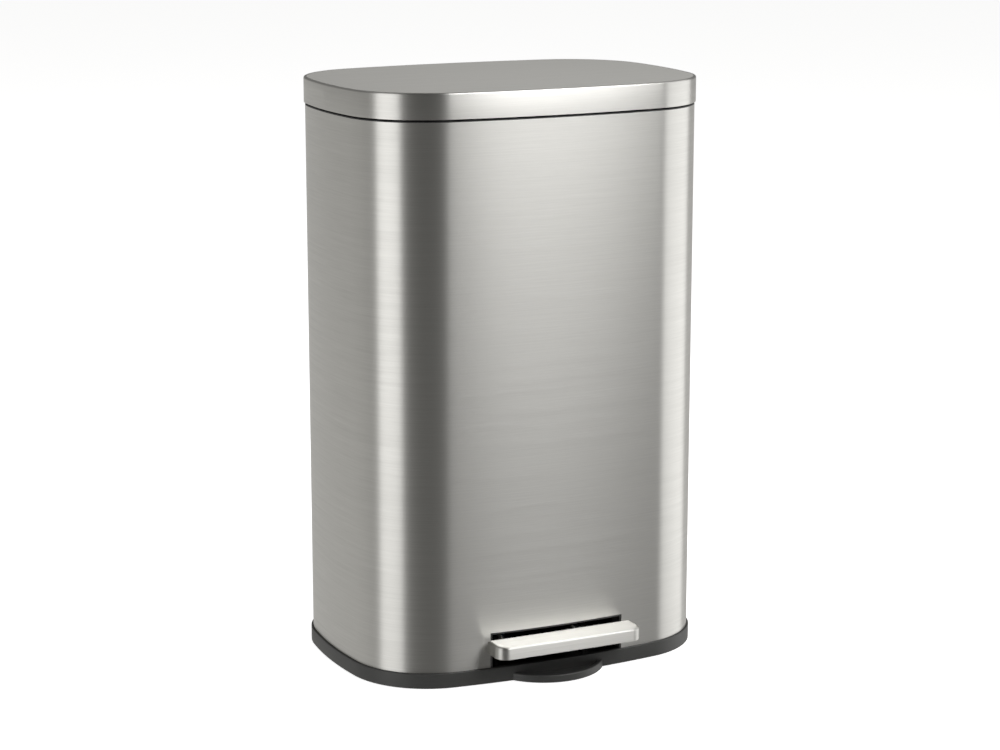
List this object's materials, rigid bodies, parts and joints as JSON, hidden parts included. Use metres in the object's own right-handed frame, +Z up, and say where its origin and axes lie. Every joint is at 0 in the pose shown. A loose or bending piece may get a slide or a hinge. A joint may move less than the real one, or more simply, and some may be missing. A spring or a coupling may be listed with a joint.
{
  "type": "pedal trash can",
  "caption": "Free-standing step can: brushed steel body and lid, dark base, lift-out bucket, and a foot pedal whose lever and rod raise the back-hinged lid.",
  "frame": {"origin": "on the floor under the middle of the lid's outline, which is within 2 mm of the middle of the whole object's footprint", "axes": "+Z up, -Y towards the front and the pedal, +X to the right as seen from the front"},
  "size_m": [0.4218, 0.3667, 0.65],
  "materials": {
    "brushed_steel": "satin",
    "plain_steel": "satin",
    "base_plastic": "satin",
    "black_plastic": "satin",
    "bucket_plastic": "matte",
    "rubber": "matte",
    "nylon": "satin"
  },
  "bodies": {
    "can": {"outer_shell": "brushed_steel", "base_ring": "base_plastic", "base_floor": "base_plastic", "pedal_slot_liner": "black_plastic", "top_rim": "black_plastic", "hinge_cover": "black_plastic", "mechanism_cover": "black_plastic", "inner_bucket": "bucket_plastic", "rod_guides": "nylon", "damper_bracket": "black_plastic", "rubber_feet": "rubber", "base_screws": "plain_steel", "pivot_pin": "plain_steel", "pivot_pin_clips": "plain_steel", "damper_cylinder": "plain_steel", "hinge_bracket": "plain_steel", "hinge_bracket_rivets": "plain_steel", "hinge_pin": "plain_steel", "hinge_pin_clips": "plain_steel", "hinge_cover_screws": "plain_steel"},
    "lid": {"lid_shell": "brushed_steel", "lid_liner": "black_plastic", "lid_bumpers": "rubber", "hinge_arm": "plain_steel", "lid_screws": "plain_steel"},
    "pedal": {"pedal_plate": "brushed_steel", "pedal_core": "black_plastic", "pedal_lever": "plain_steel", "lever_bushes": "nylon", "pedal_screws": "plain_steel"},
    "lift_rod": {"push_rod": "plain_steel", "rod_nuts": "plain_steel", "rod_clip": "plain_steel"},
    "damper_piston": {"damper_rod": "plain_steel", "damper_nuts": "plain_steel"}
  },
  "joints": [
    {"name": "lid_hinge", "type": "hinge", "parent": "can", "child": "lid", "pos_m": [0, 0.159, 0.63], "axis": [-1, 0, 0], "range_deg": [0, 75]},
    {"name": "pedal_pivot", "type": "hinge", "parent": "can", "child": "pedal", "pos_m": [0, -0.1, 0.03002], "axis": [1, 0, 0], "range_deg": [0, 8.99]},
    {"name": "rod_lift", "type": "slide", "parent": "can", "child": "lift_rod", "axis": [0, 0, 1], "range_m": [0, 0.03684]},
    {"name": "damper_slide", "type": "slide", "parent": "can", "child": "damper_piston", "axis": [0, 0, 1], "range_m": [0, 0.03684]}
  ],
  "couplings": [
    {"joint": "pedal_pivot", "follows": "lid_hinge", "ratio": 0.11986},
    {"joint": "rod_lift", "follows": "lid_hinge", "m_per_rad": 0.028137},
    {"joint": "damper_slide", "follows": "lid_hinge", "m_per_rad": 0.028137}
  ]
}
